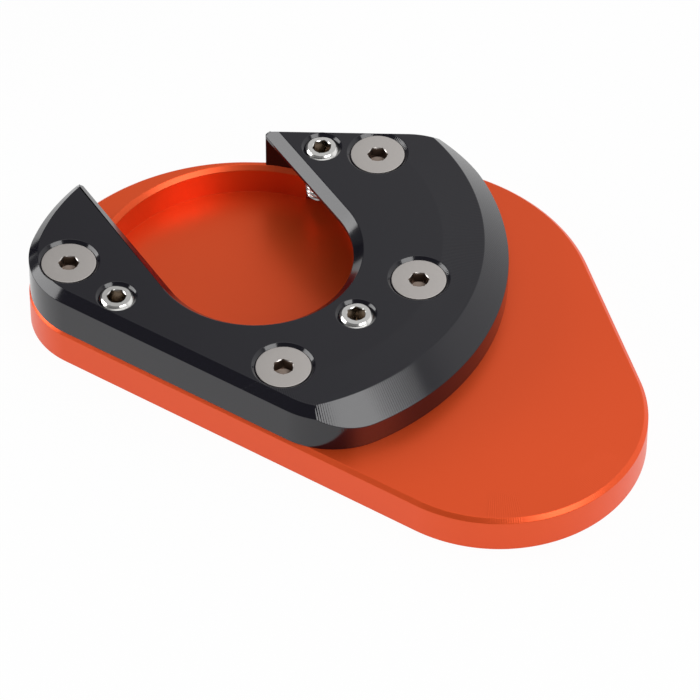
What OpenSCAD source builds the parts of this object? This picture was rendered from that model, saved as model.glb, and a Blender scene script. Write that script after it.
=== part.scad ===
// Kickstand foot enlarger: a wide base plate and a horseshoe clamp plate that hold the foot of
// a motorbike's side stand between them. The origin is on the underside, on the axis of the
// recess for the foot; +X runs along the straight front edge and +Z points up.

/* [Base plate] */
// Thickness of the base plate
base_thk = 7.2; // [6:0.1:12]
// Chamfer round the top edge of the base plate
base_chamfer = 0.75; // [0.2:0.05:1.5]
// Wall between the rim of the recess and the straight front edge
front_wall = 2; // [1:0.1:8]
// How much larger the heel round is than the recess
heel_wall = 11.95; // [10:0.05:15]
// Centre of the heel round, in X and Y
heel_at = [4.8, -8.6]; // [-10:0.05:6]
// How much larger the back round is than the recess
back_wall = 8.35; // [6:0.05:12]
// Centre of the back round, in X and Y
back_at = [26.05, 8.8]; // [8:0.05:32]
// Radius of the round toe
toe_r = 26.5; // [22:0.1:34]
// Distance of the toe's centre from the recess axis
toe_x = 55.1; // [46:0.1:80]
// Radius of the corner between the heel and the front edge
corner_r = 14.5; // [8:0.1:18]

/* [Recess for the foot] */
// Radius of the recess
recess_r = 27.45; // [24:0.05:32]
// Chamfer on the rim of the recess
rim_chamfer = 0.8; // [0.2:0.05:1.5]
// Thickness of the floor that is left under the recess
floor_thk = 1.1; // [0.6:0.1:2.5]
// Space between the recess floor and the set screws, where the foot is held
grip_gap = 3.3; // [1:0.1:8]

/* [Clamp plate] */
// Thickness of the clamp plate
clamp_thk = 9; // [7:0.1:14]
// How far its outer edge stands back from the edge of the base plate
clamp_inset = 0.2; // [0:0.05:0.6]
// Chamfer round the top edge and the opening
edge_chamfer = 1.75; // [0.5:0.05:1.8]
// Wide chamfer along the round nose
nose_chamfer = 4.4; // [2.5:0.05:6]
// Width of the clamp plate between the recess and the nose
nose_width = 19.85; // [18:0.05:26]
// Centre of the round nose, in X and Y
nose_at = [-0.45, -0.35]; // [-3:0.05:3]
// Radius of the corner between the nose and the front edge
front_corner_r = 15; // [4:0.1:18]
// Radius of the corner between the nose and the back edge
back_corner_r = 15; // [2:0.1:17]
// Radius of the upright edges at the two prong tips, where the chamfers meet in a ridge
tip_r = 0.9; // [0.3:0.05:1.2]
// Thickness of the lip that reaches over the recess
lip_thk = 2.4; // [2.3:0.1:4]

/* [Opening] */
// Width of the opening between the prongs
opening_w = 34.7; // [26:0.1:38]
// Distance of the opening's round end from the recess axis
opening_shift = 3.1; // [0:0.1:6]
// Direction in which the opening leaves the clamp plate
mouth_angle = 155; // [148:1:162]

/* [Clamp screws] */
// Directions of the four clamp screws from the recess axis
screw_angles = [-136.2, 76.5, 15.1, -44.7]; // [-180:0.1:180]
// Distance from the recess wall to the screw axes
screw_web = 4.65; // [4:0.05:8]
// Diameter of the shanks
screw_d = 5; // [4:0.1:6]
// Diameter of the heads
head_d = 9.8; // [8.5:0.1:11]
// Height of the straight rim of a head
head_rim = 0.25; // [0.1:0.05:0.6]
// Depth of the heads below the top of the clamp plate
head_sink = 0.4; // [0:0.05:0.8]
// Width across flats of the sockets in the heads
socket_w = 3.3; // [2.5:0.1:4]
// Depth of the sockets in the heads
socket_depth = 2.2; // [1.2:0.1:2.5]
// Turn of each screw about its axis
socket_turns = [3, 3, 3, 33]; // [0:1:60]
// Chamfer on the tip of a screw
screw_tip_chamfer = 0.5; // [0.2:0.05:1]
// Thickness of the base plate left under the screw tips
screw_tip_z = 2; // [1.5:0.1:3]

/* [Set screws] */
// Directions of the three set screws from the recess axis
set_angles = [93.9, -10.9, -114.2]; // [-180:0.1:180]
// Distance from the recess wall in to the set screw axes
set_inset = 0.4; // [0:0.05:3]
// Diameter of the set screws
set_d = 6; // [5:0.1:7]
// Width across flats of the sockets in the set screws
set_socket_w = 3.1; // [2:0.1:3.5]
// Depth of the sockets in the set screws
set_socket_depth = 3.5; // [2:0.1:5]
// Chamfer on the top of a set screw
set_top_chamfer = 0.45; // [0.2:0.05:0.8]
// Chamfer on the tip of a set screw
set_tip_chamfer = 0.9; // [0.4:0.05:1.2]
// Turn of each set screw about its axis
set_turns = [18, 33, 3]; // [0:1:60]

/* [Fits] */
// Play round a screw shank in its clearance hole, on the radius
hole_play = 0.25; // [0.1:0.05:0.5]
// Play round a thread in its tapped hole, on the radius
thread_play = 0.05; // [0.02:0.01:0.1]
// Play round a set screw in the relief beside the recess, on the radius
relief_play = 0.4; // [0.2:0.05:1]
// Depth of a tapped hole past the tip of its screw
tap_runout = 1; // [0.2:0.1:1.2]
// Countersink at the mouth of a set screw's hole
set_sink = 0.6; // [0.2:0.05:0.9]

/* [Hidden] */
$fn = 96;

// How far a cutting shape stands clear of what it cuts
clear = 1;
// Width of the square that the base plate is cut from
blank_w = 200;
// How far the shapes that cut the outline reach, past the blank on every side
reach = 250;
// Steps round the outside of a sector that cuts a rounding
sector_steps = 6;
// How far the sector of a large round runs on over a smaller one
run_on = 10;
// How far a rounding stands proud of the edges that it joins, so that their surfaces cross
blend = 0.005;
// Angle of the point that a drill leaves at the bottom of a hole
drill_point = 118;

top_z = base_thk + clamp_thk;
rim_r = recess_r + rim_chamfer;
front_edge = rim_r + front_wall;
opening_r = opening_w / 2;

// Directions that the straight edges face
front_dir = -90;
mouth_back_dir = mouth_angle + 90;
mouth_front_dir = mouth_angle - 90;

// A round of the outline is [x, y, radius]
heel = [heel_at.x, heel_at.y, recess_r + heel_wall];
back = [back_at.x, back_at.y, recess_r + back_wall];
toe = [toe_x, toe_r - front_edge, toe_r];
nose = [nose_at.x, nose_at.y, recess_r + nose_width];

function place(round) = [round.x, round.y];
function smaller(round, by) = [round.x, round.y, round[2] - by];
function dir(angle) = [cos(angle), sin(angle)];
function left_of(v) = [-v.y, v.x];

// Direction from -90 up to 270 degrees, so that the outline's directions only ever rise
function rising(angle) = (angle + 450) % 360 - 90;
function heading(from, to) = rising(atan2(to.y - from.y, to.x - from.x));

// Direction that the common tangent of two rounds faces, the first one met before the second
// when the outline is followed with the material on the left
function tangent_dir(first, second) =
    rising(heading(first, second) - 90 + asin((first[2] - second[2]) / norm(place(second) - place(first))));

// Round of radius r inside a round and against a straight edge that faces a direction and lies
// at a distance from the origin; side says at which end of the edge
function corner(edge_dir, edge_at, round, r, side) =
    let (across = edge_at - r - dir(edge_dir) * place(round))
    let (along = sqrt(pow(round[2] - r, 2) - pow(across, 2)))
    let (centre = place(round) + across * dir(edge_dir) + side * along * left_of(dir(edge_dir)))
    [centre.x, centre.y, r];

// Round of radius r inside the angle between two straight edges
function angle_round(dir_a, at_a, dir_b, at_b, r) =
    let (turn = sin(dir_b - dir_a))
    let (a = at_a - r)
    let (b = at_b - r)
    [(a * sin(dir_b) - b * sin(dir_a)) / turn, (b * cos(dir_a) - a * cos(dir_b)) / turn, r];

right_dir = tangent_dir(toe, back);
right_at = dir(right_dir) * place(toe) + toe[2];
back_dir = tangent_dir(back, heel);
back_edge = dir(back_dir) * place(heel) + heel[2];

heel_corner = corner(front_dir, front_edge, heel, corner_r, -1);
clamp_front_edge = front_edge - clamp_inset;
clamp_back_edge = back_edge - clamp_inset;
front_corner = corner(front_dir, clamp_front_edge, nose, front_corner_r, 1);
back_corner = corner(back_dir, clamp_back_edge, nose, back_corner_r, -1);
front_tip = corner(mouth_front_dir, -opening_r, smaller(heel, clamp_inset), tip_r, 1);
back_tip = angle_round(back_dir, clamp_back_edge, mouth_back_dir, -opening_r, tip_r);

// Directions in which one round passes into the next
heel_corner_dir = heading(heel, heel_corner);
nose_start = heading(nose, front_corner);
nose_end = heading(nose, back_corner);
tip_end = heading(heel, front_tip);

screw_ring_r = recess_r + screw_web;
head_z = top_z - head_sink;
head_cone_z = head_z - head_rim;
head_cone_h = (head_d - screw_d) / 2;
clearance_r = screw_d / 2 + hole_play;

set_ring_r = recess_r - set_inset;
set_tip_z = floor_thk + grip_gap;
tapped_r = set_d / 2 + thread_play;

base_colour = [0.85, 0.33, 0.17];
clamp_colour = [0.19, 0.19, 0.21];
screw_colour = [0.69, 0.66, 0.63];
set_colour = [0.8, 0.79, 0.77];

// Stands its children on a ring round the recess axis
module on_ring(r, angle) {
    translate([r * cos(angle), r * sin(angle), 0])
        children();
}

// What a straight edge takes away: everything beyond it, and its chamfer
module edge_cut(edge_dir, edge_at, h, c) {
    rotate(edge_dir)
        translate([edge_at, reach, 0])
            rotate([90, 0, 0])
                linear_extrude(2 * reach)
                    polygon([
                        [0, -clear],
                        [reach, -clear],
                        [reach, h + clear],
                        [-c - clear, h + clear],
                        [0, h - c]
                    ]);
}

// A round post with a chamfer that runs on a little past the top
module post(r, h, c) {
    over = (r - c) / 2;
    top_r = max(over, r - c - clear);
    rotate_extrude()
        polygon([
            [0, -2 * clear],
            [r, -2 * clear],
            [r, h - c],
            [top_r, h - c + r - top_r],
            [top_r, h + 3 * clear],
            [0, h + 3 * clear]
        ]);
}

// What a rounding takes away: everything outside it between two directions, out to a distance.
// A corner that lies inside a larger round stands proud of that one too.
module round_cut(round, start, end, h, c, proud = blend, out = reach) {
    step = (end - start) / sector_steps;
    translate([round.x, round.y, 0])
        difference() {
            translate([0, 0, -clear])
                linear_extrude(h + 2 * clear)
                    polygon(concat(
                        [[0, 0]],
                        [for (i = [0:sector_steps]) out * dir(start + i * step)]
                    ));
            post(round[2] + proud, h, c);
        }
}

// The edges that follow one another round both plates
module shared_cuts(h, c, inset = 0) {
    edge_cut(front_dir, front_edge - inset, h, c);
    edge_cut(back_dir, back_edge - inset, h, c);
    round_cut(smaller(heel, inset), back_dir, heel_corner_dir + run_on, h, c);
    round_cut(smaller(heel_corner, inset), heel_corner_dir, front_dir + 360, h, c, 2 * blend);
}

module base_plate() {
    color(base_colour)
        difference() {
            translate([back.x - blank_w / 2, -blank_w / 2, 0])
                cube([blank_w, blank_w, base_thk]);
            shared_cuts(base_thk, base_chamfer);
            edge_cut(right_dir, right_at, base_thk, base_chamfer);
            round_cut(toe, front_dir, right_dir, base_thk, base_chamfer);
            round_cut(back, right_dir, back_dir, base_thk, base_chamfer);
            recess();
            for (angle = set_angles)
                on_ring(set_ring_r, angle)
                    translate([0, 0, floor_thk])
                        cylinder(r = set_d / 2 + relief_play, h = base_thk);
            for (angle = screw_angles)
                on_ring(screw_ring_r, angle)
                    tapped_hole();
        }
}

// Round recess for the foot, with a chamfered rim
module recess() {
    rotate_extrude()
        polygon([
            [0, floor_thk],
            [recess_r, floor_thk],
            [recess_r, base_thk - rim_chamfer],
            [rim_r + clear, base_thk + clear],
            [0, base_thk + clear]
        ]);
}

// Blind tapped hole in the base plate for a clamp screw
module tapped_hole() {
    translate([0, 0, screw_tip_z - tap_runout])
        cylinder(r = screw_d / 2 + thread_play, h = base_thk);
}

module clamp_plate() {
    color(clamp_colour)
        translate([0, 0, base_thk])
            difference() {
                nose_blank();
                shared_cuts(clamp_thk, edge_chamfer, clamp_inset);
                round_cut(front_corner, front_dir, nose_start, clamp_thk, edge_chamfer);
                round_cut(back_corner, nose_end, back_dir, clamp_thk, edge_chamfer);
                opening_cuts();
                round_cut(back_tip, back_dir, mouth_back_dir, clamp_thk, 0, blend, opening_r);
                round_cut(front_tip, mouth_front_dir, tip_end, clamp_thk, 0, 2 * blend, opening_r);
                foot_pocket();
                for (angle = screw_angles)
                    on_ring(screw_ring_r, angle)
                        countersunk_hole();
                for (angle = set_angles)
                    on_ring(set_ring_r, angle)
                        set_hole();
            }
}

// Disc that the clamp plate is cut from, with the wide chamfer of the nose
module nose_blank() {
    translate([nose.x, nose.y, 0])
        rotate_extrude()
            polygon([
                [0, 0],
                [nose[2], 0],
                [nose[2], clamp_thk - nose_chamfer],
                [nose[2] - nose_chamfer, clamp_thk],
                [0, clamp_thk]
            ]);
}

// Opening between the prongs: a round end and a straight way out, chamfered along the top
module opening_cuts() {
    end_r = opening_r + blend;
    rotate(mouth_angle)
        translate([-opening_shift, 0, 0]) {
            rotate_extrude()
                polygon([
                    [0, -clear],
                    [end_r, -clear],
                    [end_r, clamp_thk - edge_chamfer],
                    [end_r + edge_chamfer + clear, clamp_thk + clear],
                    [0, clamp_thk + clear]
                ]);
            rotate([90, 0, 90])
                linear_extrude(reach)
                    polygon([
                        [-opening_r, -clear],
                        [opening_r, -clear],
                        [opening_r, clamp_thk - edge_chamfer],
                        [opening_r + edge_chamfer + clear, clamp_thk + clear],
                        [-opening_r - edge_chamfer - clear, clamp_thk + clear],
                        [-opening_r, clamp_thk - edge_chamfer]
                    ]);
        }
}

// Pocket under the lip, as wide as the rim of the recess below it
module foot_pocket() {
    translate([0, 0, -clear])
        cylinder(r = rim_r, h = clamp_thk - lip_thk + clear);
}

// Clearance hole and countersink for a clamp screw
module countersunk_hole() {
    depth = head_sink + head_rim;
    mouth_r = head_d / 2 + depth;
    rotate_extrude()
        polygon([
            [0, -clear],
            [clearance_r, -clear],
            [clearance_r, clamp_thk - mouth_r + clearance_r],
            [mouth_r + clear, clamp_thk + clear],
            [0, clamp_thk + clear]
        ]);
}

// Tapped hole for a set screw, countersunk at the top
module set_hole() {
    rotate_extrude()
        polygon([
            [0, -clear],
            [tapped_r, -clear],
            [tapped_r, clamp_thk - set_sink],
            [tapped_r + set_sink + clear, clamp_thk + clear],
            [0, clamp_thk + clear]
        ]);
}

// Hexagon socket with a drilled point, from a height down
module socket(w, depth, z) {
    corner_reach = w / sqrt(3);
    point_h = w / 2 / tan(drill_point / 2);
    translate([0, 0, z - depth])
        cylinder(r = corner_reach, h = depth + clear, $fn = 6);
    translate([0, 0, z - depth - point_h])
        cylinder(r1 = 0, r2 = w / 2, h = point_h);
}

// Countersunk clamp screw
module clamp_screw(i) {
    color(screw_colour)
        on_ring(screw_ring_r, screw_angles[i])
            rotate(socket_turns[i])
                difference() {
                    rotate_extrude()
                        polygon([
                            [0, screw_tip_z],
                            [screw_d / 2 - screw_tip_chamfer, screw_tip_z],
                            [screw_d / 2, screw_tip_z + screw_tip_chamfer],
                            [screw_d / 2, head_cone_z - head_cone_h],
                            [head_d / 2, head_cone_z],
                            [head_d / 2, head_z],
                            [0, head_z]
                        ]);
                    socket(socket_w, socket_depth, head_z);
                }
}

// Set screw that presses on the foot
module set_screw(i) {
    color(set_colour)
        on_ring(set_ring_r, set_angles[i])
            rotate(set_turns[i])
                difference() {
                    rotate_extrude()
                        polygon([
                            [0, set_tip_z],
                            [set_d / 2 - set_tip_chamfer, set_tip_z],
                            [set_d / 2, set_tip_z + set_tip_chamfer],
                            [set_d / 2, top_z - set_top_chamfer],
                            [set_d / 2 - set_top_chamfer, top_z],
                            [0, top_z]
                        ]);
                    socket(set_socket_w, set_socket_depth, top_z);
                }
}

base_plate();
clamp_plate();
clamp_screw(0);  // clamp_screw_1
clamp_screw(1);  // clamp_screw_2
clamp_screw(2);  // clamp_screw_3
clamp_screw(3);  // clamp_screw_4
set_screw(0);  // set_screw_1
set_screw(1);  // set_screw_2
set_screw(2);  // set_screw_3
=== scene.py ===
from math import acos, asin, atan2, cos, degrees, pi, radians, sin, sqrt, tan

import bpy
from mathutils import Matrix, Vector


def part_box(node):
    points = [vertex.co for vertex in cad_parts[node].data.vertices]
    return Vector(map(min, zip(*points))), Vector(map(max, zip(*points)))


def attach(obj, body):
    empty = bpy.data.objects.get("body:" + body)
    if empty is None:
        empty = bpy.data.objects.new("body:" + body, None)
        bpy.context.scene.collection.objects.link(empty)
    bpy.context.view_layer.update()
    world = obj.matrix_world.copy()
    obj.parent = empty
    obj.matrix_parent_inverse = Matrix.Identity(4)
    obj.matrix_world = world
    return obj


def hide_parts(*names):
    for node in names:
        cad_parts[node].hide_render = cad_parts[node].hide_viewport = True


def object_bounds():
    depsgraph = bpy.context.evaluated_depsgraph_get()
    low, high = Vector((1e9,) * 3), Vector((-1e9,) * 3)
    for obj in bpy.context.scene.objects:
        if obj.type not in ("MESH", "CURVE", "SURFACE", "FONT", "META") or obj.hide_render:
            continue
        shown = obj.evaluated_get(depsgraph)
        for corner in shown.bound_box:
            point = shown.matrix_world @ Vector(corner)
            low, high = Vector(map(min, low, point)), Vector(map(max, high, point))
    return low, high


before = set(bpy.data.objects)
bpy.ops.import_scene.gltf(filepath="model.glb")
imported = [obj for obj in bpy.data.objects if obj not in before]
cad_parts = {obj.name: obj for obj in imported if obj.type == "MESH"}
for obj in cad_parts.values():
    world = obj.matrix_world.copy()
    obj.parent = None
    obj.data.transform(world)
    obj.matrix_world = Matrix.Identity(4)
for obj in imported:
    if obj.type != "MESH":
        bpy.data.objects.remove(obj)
cad_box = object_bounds()

# Base plate
# The ground plate is milled from aluminium plate and anodised orange, with a satin surface. Its
# outline is four rounds and the tangents between them. It has a round blind recess for the
# stand's foot and four blind tapped holes that take the clamp screws.
ORANGE = (0.84, 0.09, 0.016)
MM = 0.001
CLAMP_SCREWS = [f"clamp_screw_{number}" for number in (1, 2, 3, 4)]
SET_SCREWS = [f"set_screw_{number}" for number in (1, 2, 3)]
RECESS_RADIUS = 27.45
RECESS_FLOOR = 1.1
RIM_CHAMFER = 0.8
BASE_CHAMFER = 0.75
FRONT_WALL = 2
HEEL = (4.8, -8.6, 39.4)
BACK = (26.05, 8.8, 35.8)
TOE_RADIUS = 26.5
TOE_X = 55.1
HEEL_CORNER_RADIUS = 14.5
RELIEF_PLAY = 0.4
SCREW_DIAMETER = 5
THREAD_PLAY = 0.05
TAP_RUNOUT = 1
FRONT = -90
CHORD = 0.003  # how far an arc's straight steps may lie inside it
FEWEST_STEPS = 4
RECESS_STEPS = 240
HOLE_STEPS = 64
EDGE_BREAK = 0.09
BREAK_SEGMENTS = 2
BREAK_ANGLE = 25
SMOOTH_ANGLE = 28
MERGE = 0.001
PAST = 1  # how far a cutting body reaches past what it cuts
ORANGE_METALLIC = 0.55
ORANGE_ROUGHNESS = (0.32, 0.06)
CLOUD_SCALE = 0.022
CLOUD_DETAIL = 1.0
CLOUD_TINT = 0.06
GRAIN_SCALE = 0.9
GRAIN_DETAIL = 3.0
GRAIN_HEIGHT = 0.12
TICK_HEIGHT = 0.5
RELIEF_DISTANCE = 0.012
TICK_INWARD = 0.25
TICK_OUTWARD = 0.5
TOE_TICK = 0.42
TOE_TICKED = ((-62, -48), (-20, 5))


def box(node):
    """The two corners of a CAD node, in millimetres, in which the pieces are modelled."""
    low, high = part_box(node)
    return low / MM, high / MM


base_low, base_high = box("base_plate")
BASE_TOP = base_high.z
RIM_RADIUS = RECESS_RADIUS + RIM_CHAMFER
FRONT_EDGE = RIM_RADIUS + FRONT_WALL


def facing(angle):
    return Vector((cos(radians(angle)), sin(radians(angle)), 0))


def centre_of(ring):
    return Vector((ring[0], ring[1], 0))


def rising(angle):
    """The angle from -90 up to 270 degrees, as an outline's directions run."""
    return (angle + 450) % 360 - 90


def heading(first, second):
    step = centre_of(second) - centre_of(first)
    return rising(degrees(atan2(step.y, step.x)))


def tangent_facing(first, second):
    """What the tangent faces that follows the first round and leads to the second."""
    span = (centre_of(second) - centre_of(first)).length
    return rising(heading(first, second) - 90 + degrees(asin((first[2] - second[2]) / span)))


def corner(edge_facing, edge_at, ring, radius, side):
    """A round against a straight edge and inside a larger round, at one end of the edge."""
    out = facing(edge_facing)
    across = edge_at - radius - out.dot(centre_of(ring))
    along = sqrt((ring[2] - radius) ** 2 - across**2)
    place = centre_of(ring) + across * out + side * along * Vector((-out.y, out.x, 0))
    return place.x, place.y, radius


def angle_round(first_facing, first_at, second_facing, second_at, radius):
    """A round in the angle between two straight edges, each at its distance from the origin."""
    a, b = facing(first_facing), facing(second_facing)
    turn = a.x * b.y - a.y * b.x
    first, second = first_at - radius, second_at - radius
    return (first * b.y - second * a.y) / turn, (second * a.x - first * b.x) / turn, radius


def deselect():
    if bpy.context.mode != "OBJECT":
        bpy.ops.object.mode_set(mode="OBJECT")
    bpy.ops.object.select_all(action="DESELECT")


def settle(name):
    """Names the active object and puts its place into its mesh."""
    piece = bpy.context.object
    piece.name = name
    piece.data.name = name
    bpy.ops.object.transform_apply(location=True, rotation=True, scale=True)
    return piece


def pen(name, point):
    """A mesh of one vertex, in edit mode, for a line to be drawn from."""
    deselect()
    bpy.ops.mesh.primitive_plane_add(size=1, location=point)
    piece = settle(name)
    bpy.ops.object.mode_set(mode="EDIT")
    bpy.ops.mesh.select_mode(type="VERT")
    bpy.ops.mesh.merge(type="CENTER")
    return piece


def draw_to(here, there):
    if (Vector(there) - Vector(here)).length > MERGE:
        step = Vector(there) - Vector(here)
        bpy.ops.mesh.extrude_region_move(TRANSFORM_OT_translate={"value": step})
    return Vector(there)


def prism(name, arcs, low, high, chamfer):
    """A solid between two heights with a chamfered top. Its outline is made of arcs (round,
    start, end) and the straight lines between them; a round of no radius is a sharp corner."""
    first = arcs[0]
    here = centre_of(first[0]) + first[0][2] * facing(first[1]) + Vector((0, 0, low))
    piece = pen(name, here)
    for ring, start, end in arcs:
        middle = centre_of(ring) + Vector((0, 0, low))
        here = draw_to(here, middle + ring[2] * facing(start))
        if ring[2] == 0:
            continue
        step = 2 * acos(1 - CHORD / ring[2])
        steps = max(FEWEST_STEPS, round(radians(abs(end - start)) / step))
        # A spin turns clockwise for a positive angle.
        bpy.ops.mesh.spin(
            steps=steps, angle=-radians(end - start), center=middle, axis=(0, 0, 1)
        )
        here = middle + ring[2] * facing(end)
    bpy.ops.mesh.select_all(action="SELECT")
    bpy.ops.mesh.remove_doubles(threshold=MERGE)
    bpy.ops.mesh.edge_face_add()
    wall = high - low - chamfer
    bpy.ops.mesh.extrude_region_move(TRANSFORM_OT_translate={"value": (0, 0, wall)})
    if chamfer:
        bpy.ops.mesh.inset(thickness=chamfer, depth=0)
        bpy.ops.transform.translate(value=(0, 0, chamfer))
    bpy.ops.mesh.select_all(action="SELECT")
    bpy.ops.mesh.normals_make_consistent(inside=False)
    bpy.ops.object.mode_set(mode="OBJECT")
    return piece


def turned(name, profile, at=(0, 0), steps=HOLE_STEPS):
    """A solid of revolution about an upright axis; the profile is points (radius, height)."""
    here = Vector((at[0] + profile[0][0], at[1], profile[0][1]))
    piece = pen(name, here)
    for radius, height in profile[1:]:
        here = draw_to(here, (at[0] + radius, at[1], height))
    bpy.ops.mesh.select_all(action="SELECT")
    bpy.ops.mesh.spin(steps=steps, angle=2 * pi, center=(at[0], at[1], 0), axis=(0, 0, 1))
    bpy.ops.mesh.select_all(action="SELECT")
    bpy.ops.mesh.remove_doubles(threshold=MERGE)
    bpy.ops.mesh.normals_make_consistent(inside=False)
    bpy.ops.object.mode_set(mode="OBJECT")
    return piece


def combine(piece, other, operation):
    """Cuts a piece with another, or keeps what they share. The other one is used up."""
    modifier = piece.modifiers.new("cut", "BOOLEAN")
    modifier.operation = operation
    modifier.solver = "EXACT"
    modifier.object = other
    deselect()
    bpy.context.view_layer.objects.active = piece
    bpy.ops.object.modifier_apply(modifier="cut")
    bpy.data.objects.remove(other)


def finish(piece, width):
    """Breaks the sharp edges, keeps flat faces flat in the light, and goes over to metres."""
    deselect()
    bpy.context.view_layer.objects.active = piece
    piece.select_set(True)
    bpy.ops.object.mode_set(mode="EDIT")
    bpy.ops.mesh.select_all(action="SELECT")
    bpy.ops.mesh.remove_doubles(threshold=MERGE)
    bpy.ops.mesh.dissolve_degenerate(threshold=MERGE)
    bpy.ops.object.mode_set(mode="OBJECT")
    if width:
        edge = piece.modifiers.new("edges", "BEVEL")
        edge.width = width
        edge.segments = BREAK_SEGMENTS
        edge.limit_method = "ANGLE"
        edge.angle_limit = radians(BREAK_ANGLE)
        edge.use_clamp_overlap = False
        bpy.ops.object.modifier_apply(modifier="edges")
    bpy.ops.object.shade_smooth_by_angle(angle=radians(SMOOTH_ANGLE))
    weights = piece.modifiers.new("weights", "WEIGHTED_NORMAL")
    weights.keep_sharp = True
    bpy.ops.object.modifier_apply(modifier="weights")
    piece.scale = (MM, MM, MM)
    bpy.ops.object.transform_apply(location=True, rotation=True, scale=True)


def socket_value(tree, socket, value):
    """Sets a node's socket, or links it."""
    if isinstance(value, Term):
        value = value.output
    if isinstance(value, bpy.types.NodeSocket):
        tree.links.new(value, socket)
    else:
        socket.default_value = value


class Term:
    """A number that changes over a surface. Arithmetic on it adds Math nodes."""

    def __init__(self, shader, output):
        self.shader = shader
        self.output = output

    def math(self, operation, *values):
        made = self.shader.node("ShaderNodeMath", {"operation": operation}, dict(enumerate(values)))
        return Term(self.shader, made.outputs[0])

    def __add__(self, other):
        return self.math("ADD", self, other)

    def __radd__(self, other):
        return self.math("ADD", other, self)

    def __sub__(self, other):
        return self.math("SUBTRACT", self, other)

    def __rsub__(self, other):
        return self.math("SUBTRACT", other, self)

    def __mul__(self, other):
        return self.math("MULTIPLY", self, other)

    def __rmul__(self, other):
        return self.math("MULTIPLY", other, self)

    def __truediv__(self, other):
        return self.math("DIVIDE", self, other)

    def sine(self):
        return self.math("SINE", self)

    def root(self):
        return self.math("SQRT", self)

    def above(self, other):
        return self.math("GREATER_THAN", self, other)

    def below(self, other):
        return self.math("LESS_THAN", self, other)

    def angle_with(self, other):
        return self.math("ARCTAN2", self, other)

    def smaller(self, other):
        return self.math("MINIMUM", self, other)

    def clamped(self):
        return self.math("MAXIMUM", self, 0.0).smaller(1.0)


class Shader:
    """The node tree of a material or of the world, empty at first."""

    def __init__(self, owner):
        owner.use_nodes = True
        self.tree = owner.node_tree
        self.tree.nodes.clear()

    def node(self, kind, settings=None, values=None):
        made = self.tree.nodes.new(kind)
        for name, value in (settings or {}).items():
            setattr(made, name, value)
        for name, value in (values or {}).items():
            socket_value(self.tree, made.inputs[name], value)
        return made

    def place(self):
        """The point on the object, in millimetres, and its three coordinates."""
        metres = self.node("ShaderNodeTexCoord").outputs["Object"]
        scaled = self.node(
            "ShaderNodeVectorMath", {"operation": "SCALE"}, {0: metres, "Scale": 1 / MM}
        )
        point = scaled.outputs[0]
        parts = self.node("ShaderNodeSeparateXYZ", values={0: point}).outputs
        return point, [Term(self, part) for part in parts]

    def noise(self, point, scale, detail):
        values = {"Vector": point, "Scale": scale, "Detail": detail}
        return Term(self, self.node("ShaderNodeTexNoise", values=values).outputs["Fac"])

    def mix(self, factor, first, second):
        """A colour between two."""
        values = {"Factor": factor, 6: first, 7: second}
        return self.node("ShaderNodeMix", {"data_type": "RGBA"}, values).outputs[2]

    def bump(self, height, distance):
        values = {"Height": height, "Distance": distance * MM, "Strength": 1.0}
        return self.node("ShaderNodeBump", values=values).outputs["Normal"]

    def surface(self, shader_output):
        self.node("ShaderNodeOutputMaterial", values={"Surface": shader_output})

    def principled(self, values):
        self.surface(self.node("ShaderNodeBsdfPrincipled", values=values).outputs[0])


def rgba(colour):
    return (*colour, 1.0)


def milling_marks(shader, rings, pitch, height_low):
    """Fine ticks across a chamfer that follows rounds: what a cutter leaves on each arc."""
    point, (x, y, z) = shader.place()
    marks = 0.0
    for ring, start, end in rings:
        dx, dy = x - ring[0], y - ring[1]
        angle = dy.angle_with(dx)
        radius = (dx * dx + dy * dy).root()
        near = radius.above(ring[2] - TICK_INWARD * ring[2]) * radius.below(ring[2] + TICK_OUTWARD)
        inside = angle.above(radians(start)) * angle.below(radians(end))
        tick = (angle * (2 * pi / (pitch / ring[2]))).sine()
        marks = tick * near * inside + marks
    return marks * z.above(height_low)


TOE = (TOE_X, TOE_RADIUS - FRONT_EDGE, TOE_RADIUS)
RIGHT = tangent_facing(TOE, BACK)
BACK_EDGE_FACING = tangent_facing(BACK, HEEL)
BACK_EDGE = facing(BACK_EDGE_FACING).dot(centre_of(HEEL)) + HEEL[2]
HEEL_CORNER = corner(FRONT, FRONT_EDGE, HEEL, HEEL_CORNER_RADIUS, -1)
HEEL_END = heading(HEEL, HEEL_CORNER)

base = prism(
    "base_plate_milled",
    [
        (TOE, FRONT, RIGHT),
        (BACK, RIGHT, BACK_EDGE_FACING),
        (HEEL, BACK_EDGE_FACING, HEEL_END),
        (HEEL_CORNER, HEEL_END, FRONT + 360),
    ],
    base_low.z,
    BASE_TOP,
    BASE_CHAMFER,
)
recess = turned(
    "recess",
    [
        (0, RECESS_FLOOR),
        (RECESS_RADIUS, RECESS_FLOOR),
        (RECESS_RADIUS, BASE_TOP - RIM_CHAMFER),
        (RIM_RADIUS + PAST, BASE_TOP + PAST),
        (0, BASE_TOP + PAST),
    ],
    steps=RECESS_STEPS,
)
combine(base, recess, "DIFFERENCE")
for node in SET_SCREWS:
    low, high = box(node)
    axis, radius = (low + high) / 2, (high.x - low.x) / 2 + RELIEF_PLAY
    relief = turned(
        "relief",
        [
            (0, RECESS_FLOOR),
            (radius, RECESS_FLOOR),
            (radius, BASE_TOP + PAST),
            (0, BASE_TOP + PAST),
        ],
        (axis.x, axis.y),
    )
    combine(base, relief, "DIFFERENCE")
for node in CLAMP_SCREWS:
    low, high = box(node)
    axis, radius = (low + high) / 2, SCREW_DIAMETER / 2 + THREAD_PLAY
    bottom = low.z - TAP_RUNOUT
    tapped = turned(
        "tapped",
        [(0, bottom), (radius, bottom), (radius, BASE_TOP + PAST), (0, BASE_TOP + PAST)],
        (axis.x, axis.y),
    )
    combine(base, tapped, "DIFFERENCE")
finish(base, EDGE_BREAK)

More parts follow.
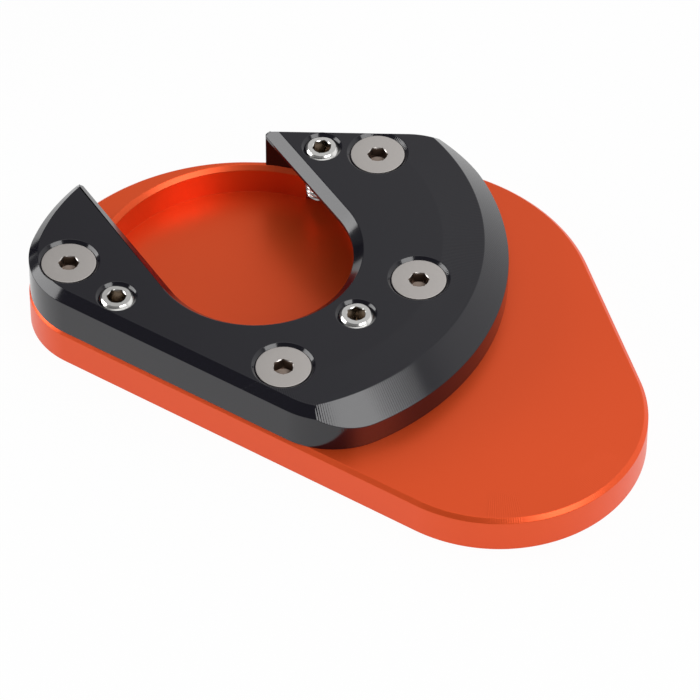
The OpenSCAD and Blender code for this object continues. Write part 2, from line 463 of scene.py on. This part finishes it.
orange = bpy.data.materials.new("orange_anodised")
shader = Shader(orange)
point, (x, y, z) = shader.place()
grain = shader.noise(point, GRAIN_SCALE, GRAIN_DETAIL)
cloud = shader.noise(point, CLOUD_SCALE, CLOUD_DETAIL)
ticks = milling_marks(
    shader,
    [(TOE, start, end) for start, end in TOE_TICKED],
    TOE_TICK,
    BASE_TOP - BASE_CHAMFER,
)
darker, lighter = (
    rgba([tint * part for part in ORANGE]) for tint in (1 - CLOUD_TINT, 1 + CLOUD_TINT)
)
shader.principled(
    {
        "Base Color": shader.mix(cloud, darker, lighter),
        "Metallic": ORANGE_METALLIC,
        "Roughness": ORANGE_ROUGHNESS[0] + ORANGE_ROUGHNESS[1] * grain,
        "Normal": shader.bump(GRAIN_HEIGHT * grain + TICK_HEIGHT * ticks, RELIEF_DISTANCE),
    }
)
base.data.materials.clear()
base.data.materials.append(orange)
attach(base, "root")
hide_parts("base_plate")
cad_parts["base_plate"].data.materials[0] = orange

# Clamp plate
# The horseshoe plate is milled from aluminium and anodised black. Its lip reaches over the rim of
# the recess. Four countersunk screws hold it down and three set screws in the lip press on the
# foot. The round nose has a wide chamfer, and the other edges have a narrow one.
BLACK = (0.0035, 0.003, 0.0075)
CLAMP_INSET = 0.2
BEYOND = 95
EDGE_CHAMFER = 1.75
NOSE_CHAMFER = 4.4
NOSE = (-0.45, -0.35, 47.3)
CORNER_RADIUS = 15
TIP_RADIUS = 0.9
TIP_REACH = 5
TIP_BLEND = 0.02
TIP_CUT_SHARE = 0.95
TIP_STEPS = 48
HEEL_ARC_DELAY = 3
LIP = 2.4
OPENING_RADIUS = 17.35
OPENING_SHIFT = 3.1
MOUTH = 155
HOLE_PLAY = 0.25
HEAD_RIM = 0.25
NOSE_TICK = 0.45
NOSE_TICKED = (-90, 100)
SET_SINK = 0.6
CLAMP_EDGE_BREAK = 0.08
NOSE_STEPS = 300
SCREW_HOLE_STEPS = 96
BLACK_IOR = 1.55
BLACK_ROUGHNESS = (0.11, 0.04)

clamp_low, clamp_high = box("clamp_plate")
CLAMP_TOP = clamp_high.z
CLAMP_HEEL = (HEEL[0], HEEL[1], HEEL[2] - CLAMP_INSET)
CLAMP_HEEL_CORNER = (HEEL_CORNER[0], HEEL_CORNER[1], HEEL_CORNER[2] - CLAMP_INSET)
CLAMP_FRONT = FRONT_EDGE - CLAMP_INSET
CLAMP_BACK = BACK_EDGE - CLAMP_INSET
front_corner = corner(FRONT, CLAMP_FRONT, NOSE, CORNER_RADIUS, 1)
back_corner = corner(BACK_EDGE_FACING, CLAMP_BACK, NOSE, CORNER_RADIUS, -1)
front_point = corner(MOUTH - 90, -OPENING_RADIUS, CLAMP_HEEL, 0, 1)
back_point = angle_round(BACK_EDGE_FACING, CLAMP_BACK, MOUTH + 90, -OPENING_RADIUS, 0)
front_tip = corner(MOUTH - 90, -OPENING_RADIUS, CLAMP_HEEL, TIP_RADIUS, 1)
back_tip = angle_round(
    BACK_EDGE_FACING, CLAMP_BACK, MOUTH + 90, -OPENING_RADIUS, TIP_RADIUS
)
opening_end = -OPENING_SHIFT * facing(MOUTH)
opening = (opening_end.x, opening_end.y, OPENING_RADIUS)
nose_from = heading(NOSE, front_corner)
nose_to = heading(NOSE, back_corner)
beyond_front = centre_of(NOSE) + BEYOND * facing(nose_from)
beyond_back = centre_of(NOSE) + BEYOND * facing(nose_to)

# The prong tips are sharp at first. The heel's arc starts a little past the front one, because
# the chamfer can't be inset from a first step that is shorter than the chamfer's mitre.
clamp = prism(
    "clamp_plate_milled",
    [
        (front_corner, FRONT, nose_from),
        ((beyond_front.x, beyond_front.y, 0), 0, 0),
        ((beyond_back.x, beyond_back.y, 0), 0, 0),
        (back_corner, nose_to, BACK_EDGE_FACING),
        (back_point, 0, 0),
        (opening, MOUTH - 90, MOUTH - 270),
        (front_point, 0, 0),
        (CLAMP_HEEL, heading(HEEL, front_point) + HEEL_ARC_DELAY, HEEL_END),
        (CLAMP_HEEL_CORNER, HEEL_END, FRONT + 360),
    ],
    clamp_low.z,
    CLAMP_TOP,
    EDGE_CHAMFER,
)
nose_disc = turned(
    "nose_disc",
    [
        (0, clamp_low.z - PAST),
        (NOSE[2], clamp_low.z - PAST),
        (NOSE[2], CLAMP_TOP - NOSE_CHAMFER),
        (NOSE[2] - NOSE_CHAMFER - PAST, CLAMP_TOP + PAST),
        (0, CLAMP_TOP + PAST),
    ],
    NOSE[:2],
    NOSE_STEPS,
)
combine(clamp, nose_disc, "INTERSECT")
# Each tip is rounded by a sector with a post left standing in it, so the chamfer runs round it.
for tip, start, end in (
    (front_tip, MOUTH - 90, heading(HEEL, front_tip)),
    (back_tip, BACK_EDGE_FACING, MOUTH + 90),
):
    spots = [centre_of(tip)]
    for angle in (start, (start + end) / 2, end):
        spots.append(centre_of(tip) + TIP_REACH * facing(angle))
    sector = prism(
        "sector",
        [((spot.x, spot.y, 0), 0, 0) for spot in spots],
        clamp_low.z - PAST,
        CLAMP_TOP - EDGE_CHAMFER + TIP_CUT_SHARE * tip[2],
        0,
    )
    round_radius = tip[2] + TIP_BLEND
    post = turned(
        "post",
        [
            (0, clamp_low.z - 2 * PAST),
            (round_radius, clamp_low.z - 2 * PAST),
            (round_radius, CLAMP_TOP - EDGE_CHAMFER),
            (0, CLAMP_TOP - EDGE_CHAMFER + round_radius),
        ],
        tip[:2],
        TIP_STEPS,
    )
    combine(sector, post, "DIFFERENCE")
    combine(clamp, sector, "DIFFERENCE")
pocket = turned(
    "pocket",
    [
        (0, clamp_low.z - PAST),
        (RIM_RADIUS, clamp_low.z - PAST),
        (RIM_RADIUS, CLAMP_TOP - LIP),
        (0, CLAMP_TOP - LIP),
    ],
    steps=RECESS_STEPS,
)
combine(clamp, pocket, "DIFFERENCE")
for node in CLAMP_SCREWS:
    low, high = box(node)
    axis, head_radius = (low + high) / 2, (high.x - low.x) / 2
    hole_radius = SCREW_DIAMETER / 2 + HOLE_PLAY
    mouth_radius = head_radius + HEAD_RIM + CLAMP_TOP - high.z
    hole = turned(
        "hole",
        [
            (0, clamp_low.z - PAST),
            (hole_radius, clamp_low.z - PAST),
            (hole_radius, CLAMP_TOP - mouth_radius + hole_radius),
            (mouth_radius + PAST, CLAMP_TOP + PAST),
            (0, CLAMP_TOP + PAST),
        ],
        (axis.x, axis.y),
        SCREW_HOLE_STEPS,
    )
    combine(clamp, hole, "DIFFERENCE")
for node in SET_SCREWS:
    low, high = box(node)
    axis, hole_radius = (low + high) / 2, (high.x - low.x) / 2 + THREAD_PLAY
    hole = turned(
        "hole",
        [
            (0, clamp_low.z - PAST),
            (hole_radius, clamp_low.z - PAST),
            (hole_radius, CLAMP_TOP - SET_SINK),
            (hole_radius + SET_SINK + PAST, CLAMP_TOP + PAST),
            (0, CLAMP_TOP + PAST),
        ],
        (axis.x, axis.y),
        SCREW_HOLE_STEPS,
    )
    combine(clamp, hole, "DIFFERENCE")
finish(clamp, CLAMP_EDGE_BREAK)

black = bpy.data.materials.new("black_anodised")
shader = Shader(black)
point, (x, y, z) = shader.place()
grain = shader.noise(point, GRAIN_SCALE, GRAIN_DETAIL)
ticks = milling_marks(shader, [(NOSE, *NOSE_TICKED)], NOSE_TICK, CLAMP_TOP - NOSE_CHAMFER)
shader.principled(
    {
        "Base Color": rgba(BLACK),
        "IOR": BLACK_IOR,
        "Roughness": BLACK_ROUGHNESS[0] + BLACK_ROUGHNESS[1] * grain,
        "Normal": shader.bump(GRAIN_HEIGHT * grain + TICK_HEIGHT * ticks, RELIEF_DISTANCE),
    }
)
clamp.data.materials.clear()
clamp.data.materials.append(black)
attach(clamp, "root")
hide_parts("clamp_plate")
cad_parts["clamp_plate"].data.materials[0] = black

# Clamp screws
# Four countersunk M5 screws of stainless steel with a hexagon socket and a finely brushed flat
# head. Their thread runs up to the head. They hold the clamp plate down on the base plate.
STEEL = (0.62, 0.585, 0.56)
SCREW_PITCH = 0.8
SCREW_TIP_CHAMFER = 0.5
SOCKET_WIDTH = 3.3
SOCKET_DEPTH = 2.2
SOCKET_BREAK = 0.13
SOCKET_LEDGE = 0.03
# Painted shade: the sockets are painted darker from a little below the top downwards, in this
# colour, because little light reaches them.
SOCKET_PAINTED_SHADE = (0.24, 0.19, 0.16)
SHADE_FREE_TOP = 0.1
SHADE_BLEND = 0.5
SHADE_REACH = 0.02
FAR = 1e6
SOCKET_TURNS = (3, 3, 3, 33)
DRILL_POINT = 118
HEAD_BREAK = 0.12
BREAK_ROUNDNESS = 3
THREAD_SHARE = 0.6
THREAD_STEPS = 44
THREAD_PROUD = 0.03
THREAD_FLAT = (0.43, 0.57)
THREAD_LEAD = 1.5
THREAD_EXTRA_TURNS = 4
POINT_STEPS = 48
POINT_OVERLAP = 0.1
BLANK_STEPS = 96
STEEL_ROUGHNESS = (0.3, 0.08)
STEEL_GRAIN = (1.5, 2.0)
STEEL_RELIEF = 0.006


def threaded(name, radius, pitch, low, high):
    """A right-hand thread about the Z axis that is as long as a screw and a little more."""
    root, crest = radius - THREAD_SHARE * pitch, radius + THREAD_PROUD
    start = low - THREAD_LEAD * pitch
    here = Vector((root, 0, start))
    rod = pen(name, here)
    for out, up in ((crest, THREAD_FLAT[0]), (crest, THREAD_FLAT[1]), (root, 1)):
        here = draw_to(here, (out, 0, start + up * pitch))
    bpy.ops.object.mode_set(mode="OBJECT")
    winding = rod.modifiers.new("winding", "SCREW")
    winding.angle = 2 * pi
    winding.screw_offset = pitch
    winding.iterations = int((high - low) / pitch) + THREAD_EXTRA_TURNS
    winding.steps = winding.render_steps = THREAD_STEPS
    bpy.ops.object.modifier_apply(modifier="winding")
    bpy.ops.object.mode_set(mode="EDIT")
    bpy.ops.mesh.select_all(action="SELECT")
    bpy.ops.mesh.remove_doubles(threshold=MERGE)
    bpy.ops.mesh.fill_holes(sides=0)
    bpy.ops.mesh.select_all(action="SELECT")
    bpy.ops.mesh.normals_make_consistent(inside=False)
    bpy.ops.object.mode_set(mode="OBJECT")
    return rod


def cut_socket(piece, width, depth, top):
    """A hexagon socket with a broken edge and a drilled point, open at a height."""
    across = width / sqrt(3)
    deselect()
    bpy.ops.mesh.primitive_cylinder_add(
        vertices=6, radius=across, depth=depth + PAST, location=(0, 0, top + (PAST - depth) / 2)
    )
    key = settle("key")
    combine(piece, key, "DIFFERENCE")
    drill = width / 2 - SOCKET_LEDGE  # clear of the hexagon's flats
    point_depth = drill / tan(radians(DRILL_POINT / 2))
    floor = top - depth
    point = turned(
        "point",
        [
            (0, floor - point_depth),
            (drill, floor),
            (drill, floor + POINT_OVERLAP),
            (0, floor + POINT_OVERLAP),
        ],
        steps=POINT_STEPS,
    )
    combine(piece, point, "DIFFERENCE")
    mouth = turned(
        "mouth",
        [
            (0, top - SOCKET_BREAK - width / 2),
            (width / 2 + SOCKET_BREAK + PAST / 2, top + PAST / 2),
            (0, top + PAST / 2),
        ],
    )
    combine(piece, mouth, "DIFFERENCE")


def copy_to(piece, name, place, turn):
    """A copy with its own mesh, turned about its axis and set in its place."""
    deselect()
    copied = piece.copy()
    copied.data = piece.data.copy()
    bpy.context.collection.objects.link(copied)
    bpy.context.view_layer.objects.active = copied
    copied.select_set(True)
    copied.rotation_euler = (0, 0, radians(turn))
    copied.location = (place.x, place.y, 0)
    return settle(name)


low, high = box("clamp_screw_1")
HEAD_RADIUS = (high.x - low.x) / 2
CONE_TOP = high.z - HEAD_RIM
CONE_END = CONE_TOP - (HEAD_RADIUS - SCREW_DIAMETER / 2)
screw = turned(
    "clamp_screw_model",
    [
        (0, low.z),
        (SCREW_DIAMETER / 2 - SCREW_TIP_CHAMFER, low.z),
        (SCREW_DIAMETER / 2, low.z + SCREW_TIP_CHAMFER),
        (SCREW_DIAMETER / 2, CONE_END - SCREW_PITCH),
        (SCREW_DIAMETER / 2, CONE_END - SCREW_PITCH / 2),
        (0, CONE_END - SCREW_PITCH / 2),
    ],
    steps=BLANK_STEPS,
)
combine(
    screw,
    threaded("shank", SCREW_DIAMETER / 2, SCREW_PITCH, low.z, CONE_END),
    "INTERSECT",
)
head = turned(
    "head",
    [
        (0, CONE_END - SCREW_PITCH),
        (SCREW_DIAMETER / 2 - THREAD_SHARE * SCREW_PITCH / 2, CONE_END - SCREW_PITCH),
        (SCREW_DIAMETER / 2 - THREAD_SHARE * SCREW_PITCH / 2, CONE_END),
        (HEAD_RADIUS, CONE_TOP),
        (HEAD_RADIUS, high.z - HEAD_BREAK),
        (HEAD_RADIUS - HEAD_BREAK / BREAK_ROUNDNESS, high.z - HEAD_BREAK / BREAK_ROUNDNESS),
        (HEAD_RADIUS - HEAD_BREAK, high.z),
        (0, high.z),
    ],
    steps=BLANK_STEPS,
)
combine(screw, head, "UNION")
cut_socket(screw, SOCKET_WIDTH, SOCKET_DEPTH, high.z)
finish(screw, 0)


def painted_socket_shade(shader, x, y, z, nodes, width, top):
    """How much painted shade shows: 1 deep in the sockets of the named screws, where little light
    reaches, and 0 elsewhere.
    """
    nearest = FAR
    for node in nodes:
        low, high = box(node)
        dx, dy = x - (low.x + high.x) / 2, y - (low.y + high.y) / 2
        nearest = (dx * dx + dy * dy).smaller(nearest)
    deep = ((top - SHADE_FREE_TOP - z) / SHADE_BLEND).clamped()
    return nearest.below((width / sqrt(3) + SHADE_REACH) ** 2) * deep


steel = bpy.data.materials.new("screw_steel")
shader = Shader(steel)
point, (x, y, z) = shader.place()
grain = shader.noise(point, *STEEL_GRAIN)
low, high = box("clamp_screw_1")
# Painted shade: the steel is painted darker deep inside each socket.
painted_shade = painted_socket_shade(shader, x, y, z, CLAMP_SCREWS, SOCKET_WIDTH, high.z)
shader.principled(
    {
        "Base Color": shader.mix(painted_shade, rgba(STEEL), rgba(SOCKET_PAINTED_SHADE)),
        "Metallic": 1.0,
        "Roughness": STEEL_ROUGHNESS[0] + STEEL_ROUGHNESS[1] * grain,
        "Normal": shader.bump(grain, STEEL_RELIEF),
    }
)
screw.data.materials.clear()
screw.data.materials.append(steel)
for node, turn in zip(CLAMP_SCREWS, SOCKET_TURNS):
    low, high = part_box(node)
    piece = copy_to(screw, f"{node}_turned", (low + high) / 2, turn)
    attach(piece, "root")
    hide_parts(node)
    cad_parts[node].data.materials[0] = steel
bpy.data.objects.remove(screw)

# Set screws
# Three M6 hexagon-socket set screws, bright plated, in the lip of the clamp plate. They are
# threaded from end to end and are turned down until their tips hold the stand's foot.
CHROME = (0.83, 0.82, 0.8)
SET_PITCH = 1
SET_TOP_CHAMFER = 0.45
SET_TIP_CHAMFER = 0.9
SET_SOCKET_WIDTH = 3.1
SET_SOCKET_DEPTH = 3.5
SET_TURNS = (18, 33, 3)
# The next colour is painted shade deep in the set screws' sockets, where little light reaches.
SET_PAINTED_SHADE = (0.36, 0.31, 0.26)
CHROME_ROUGHNESS = (0.16, 0.08)
CHROME_GRAIN = (1.2, 2.0)

low, high = box("set_screw_1")
SET_RADIUS = (high.x - low.x) / 2
grub = turned(
    "set_screw_model",
    [
        (0, low.z),
        (SET_RADIUS - SET_TIP_CHAMFER, low.z),
        (SET_RADIUS, low.z + SET_TIP_CHAMFER),
        (SET_RADIUS, high.z - SET_TOP_CHAMFER),
        (SET_RADIUS - SET_TOP_CHAMFER, high.z),
        (0, high.z),
    ],
    steps=BLANK_STEPS,
)
combine(grub, threaded("winding", SET_RADIUS, SET_PITCH, low.z, high.z), "INTERSECT")
cut_socket(grub, SET_SOCKET_WIDTH, SET_SOCKET_DEPTH, high.z)
finish(grub, 0)

chrome = bpy.data.materials.new("set_screw_steel")
shader = Shader(chrome)
point, (x, y, z) = shader.place()
grain = shader.noise(point, *CHROME_GRAIN)
low, high = box("set_screw_1")
# Painted shade: the chrome is painted darker deep inside each socket.
painted_shade = painted_socket_shade(shader, x, y, z, SET_SCREWS, SET_SOCKET_WIDTH, high.z)
shader.principled(
    {
        "Base Color": shader.mix(painted_shade, rgba(CHROME), rgba(SET_PAINTED_SHADE)),
        "Metallic": 1.0,
        "Roughness": CHROME_ROUGHNESS[0] + CHROME_ROUGHNESS[1] * grain,
    }
)
grub.data.materials.clear()
grub.data.materials.append(chrome)
for node, turn in zip(SET_SCREWS, SET_TURNS):
    low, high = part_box(node)
    piece = copy_to(grub, f"{node}_threaded", (low + high) / 2, turn)
    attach(piece, "root")
    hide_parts(node)
    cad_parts[node].data.materials[0] = chrome
bpy.data.objects.remove(grub)

# Floor, light and sky
# A plain pale floor, two soft boxes (one on the right and one low on the left), a white backdrop
# behind on the right in a darker room, a little light from above and a dark card on the left.
# ROOM, BACKDROP and FROM_ABOVE are strengths, where 1 is white.
FLOOR_SIZE = 6
FLOOR_COLOUR = (0.86, 0.86, 0.86)
FLOOR_WHITENESS = 0.88
SEEN_WHITENESS = 0.96
ROOM = 0.2
BACKDROP = 1.15
BACKDROP_TOWARDS = (75, 10)
BACKDROP_FADES = (0.42, 0.75)
FROM_ABOVE = 1.2
ABOVE_FADES = (0.75, 1)
CARD_TOWARDS = 170
CARD_DISTANCE = 0.11
CARD_WIDTH = 0.06
CARD_HEIGHT = 0.026
CARD_COLOUR = (0.06, 0.06, 0.06)
BOXES = (
    # facing, elevation, distance, width, height, radiance
    (-10, 40, 1.0, 0.58, 0.5, 4.6),
    (-153, 20, 0.9, 0.62, 0.42, 4.6),
)

deselect()
bpy.ops.mesh.primitive_plane_add(size=FLOOR_SIZE, location=(0, 0, base_low.z * MM))
floor = settle("floor")
paper = bpy.data.materials.new("paper")
shader = Shader(paper)
seen = shader.node("ShaderNodeLightPath").outputs
straight = SEEN_WHITENESS * Term(shader, seen["Is Camera Ray"])
mirrored = FLOOR_WHITENESS * Term(shader, seen["Is Glossy Ray"])
matt = shader.node("ShaderNodeBsdfDiffuse", values={"Color": rgba(FLOOR_COLOUR)})
white = shader.node("ShaderNodeEmission", values={"Color": rgba((1, 1, 1)), "Strength": 1.0})
shader.surface(
    shader.node(
        "ShaderNodeMixShader",
        values={0: (straight + mirrored).clamped(), 1: matt.outputs[0], 2: white.outputs[0]},
    ).outputs[0]
)
floor.data.materials.append(paper)

away = facing(CARD_TOWARDS)
deselect()
bpy.ops.mesh.primitive_cube_add(
    size=1, location=CARD_DISTANCE * away + Vector((0, 0, CARD_HEIGHT / 2))
)
bpy.context.object.scale = (MM, CARD_WIDTH, CARD_HEIGHT)
bpy.context.object.rotation_euler = (0, 0, radians(CARD_TOWARDS))
card = settle("dark_card")
dark = bpy.data.materials.new("dark_card")
shader = Shader(dark)
shader.surface(shader.node("ShaderNodeBsdfDiffuse", values={"Color": rgba(CARD_COLOUR)}).outputs[0])
card.data.materials.append(dark)
card.visible_camera = False

for number, (azimuth, elevation, distance, width, height, radiance) in enumerate(BOXES, 1):
    aim = (cad_box[0] + cad_box[1]) / 2
    away = facing(azimuth) * cos(radians(elevation)) + Vector((0, 0, sin(radians(elevation))))
    deselect()
    bpy.ops.object.light_add(type="AREA", location=aim + distance * away)
    lamp = bpy.context.object
    lamp.name = f"soft_box_{number}"
    lamp.rotation_euler = away.to_track_quat("Z", "Y").to_euler()
    lamp.data.shape = "RECTANGLE"
    lamp.data.size, lamp.data.size_y = width, height
    lamp.data.energy = radiance * pi * width * height
    lamp.visible_camera = False

world = bpy.data.worlds.new("studio")
bpy.context.scene.world = world
shader = Shader(world)
direction = shader.node("ShaderNodeTexCoord").outputs["Generated"]
azimuth, elevation = BACKDROP_TOWARDS
towards = facing(azimuth) * cos(radians(elevation)) + Vector((0, 0, sin(radians(elevation))))
backdrop = shader.node(
    "ShaderNodeVectorMath", {"operation": "DOT_PRODUCT"}, {0: direction, 1: towards}
)
upward = shader.node("ShaderNodeSeparateXYZ", values={0: direction}).outputs["Z"]
strength = ROOM
for value, (low, high), radiance in (
    (backdrop.outputs["Value"], BACKDROP_FADES, BACKDROP - ROOM),
    (upward, ABOVE_FADES, FROM_ABOVE),
):
    fade = shader.node(
        "ShaderNodeMapRange",
        {"interpolation_type": "SMOOTHSTEP"},
        {"Value": value, "From Min": low, "From Max": high},
    )
    strength = Term(shader, fade.outputs[0]) * radiance + strength
seen = Term(shader, shader.node("ShaderNodeLightPath").outputs["Is Camera Ray"])
strength = strength + (1 - strength) * seen
sky = shader.node("ShaderNodeBackground", values={"Strength": strength})
shader.node("ShaderNodeOutputWorld", values={"Surface": sky.outputs[0]})

# Camera
# Where the photograph was taken from: 0.89 m from the part, 46 degrees above the floor.
FRAME_PIXELS = 700
SENSOR = 36
TARGET = Vector((30.483, -13.125, 16.145)) * MM
DISTANCE = 0.8898
LOOKS_TOWARDS = 123.032
LOOKS_DOWN = 45.969
ROLL = 0.183
PIXELS_PER_MM = 5.736
CLIP = (0.01, 20)

ahead = facing(LOOKS_TOWARDS) * cos(radians(LOOKS_DOWN)) - Vector((0, 0, sin(radians(LOOKS_DOWN))))
right = facing(LOOKS_TOWARDS - 90)
above = right.cross(ahead)
tilt = radians(ROLL)
right, above = cos(tilt) * right + sin(tilt) * above, cos(tilt) * above - sin(tilt) * right
deselect()
bpy.ops.object.camera_add(location=TARGET - DISTANCE * ahead)
camera = bpy.context.object
camera.rotation_euler = Matrix((right, above, -ahead)).transposed().to_euler()
camera.data.sensor_width = SENSOR
camera.data.lens = SENSOR * PIXELS_PER_MM * DISTANCE / MM / FRAME_PIXELS
camera.data.clip_start, camera.data.clip_end = CLIP
bpy.context.scene.camera = camera
bpy.context.scene.view_settings.view_transform = "Standard"
